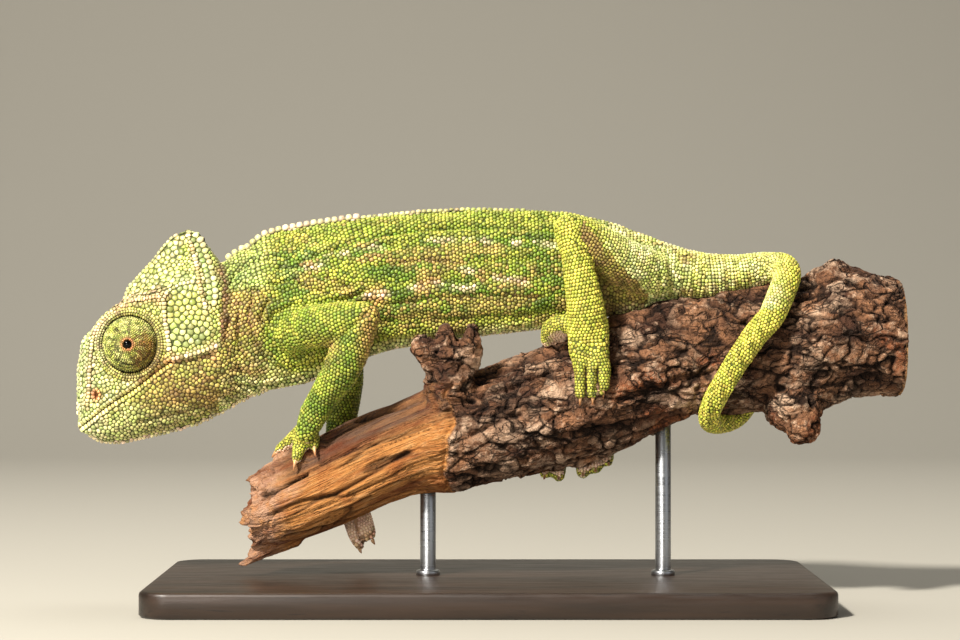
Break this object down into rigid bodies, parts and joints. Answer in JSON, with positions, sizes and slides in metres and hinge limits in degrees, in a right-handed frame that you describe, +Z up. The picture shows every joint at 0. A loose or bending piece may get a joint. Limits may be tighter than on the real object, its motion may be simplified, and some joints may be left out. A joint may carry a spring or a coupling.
{
  "type": "chameleon",
  "caption": "Life-size still model of a chameleon walking head down along a cut length of dead branch, its tail curled round it, on a flat stand.",
  "frame": {"origin": "centre of the underside of the stand's base", "axes": "the animal looks towards -X with its left side towards -Y, the branch rises towards +X, +Z up"},
  "size_m": [0.1645, 0.072, 0.0781],
  "materials": {
    "skin": "small raised scales, satin",
    "turret": "very fine scales, satin",
    "eyeball": "wet gloss",
    "bark": "cracked bark and bare weathered wood",
    "stand": "black stain, satin",
    "steel": "brushed"
  },
  "bodies": {
    "root": {"head": "skin", "lower_jaw": "skin", "neck": "skin", "chest": "skin", "belly": "skin", "pelvis": "skin", "tail_base": "skin", "tail_bend": "skin", "tail_drop": "skin", "tail_curl": "skin", "tail_tip": "skin", "left_upper_arm": "skin", "left_forearm": "skin", "left_forefoot_outer": "skin", "left_forefoot_inner": "skin", "left_thigh": "skin", "left_shank": "skin", "left_hindfoot_outer": "skin", "left_hindfoot_inner": "skin", "right_upper_arm": "skin", "right_forearm": "skin", "right_forefoot_outer": "skin", "right_forefoot_inner": "skin", "right_thigh": "skin", "right_shank": "skin", "right_hindfoot_outer": "skin", "right_hindfoot_inner": "skin", "eye_turret_left": "turret", "eye_turret_right": "turret", "eyeball_left": "eyeball", "eyeball_right": "eyeball", "perch_branch": "bark", "stand_base": "stand", "stand_rod_front": "steel", "stand_rod_rear": "steel"}
  },
  "joints": []
}
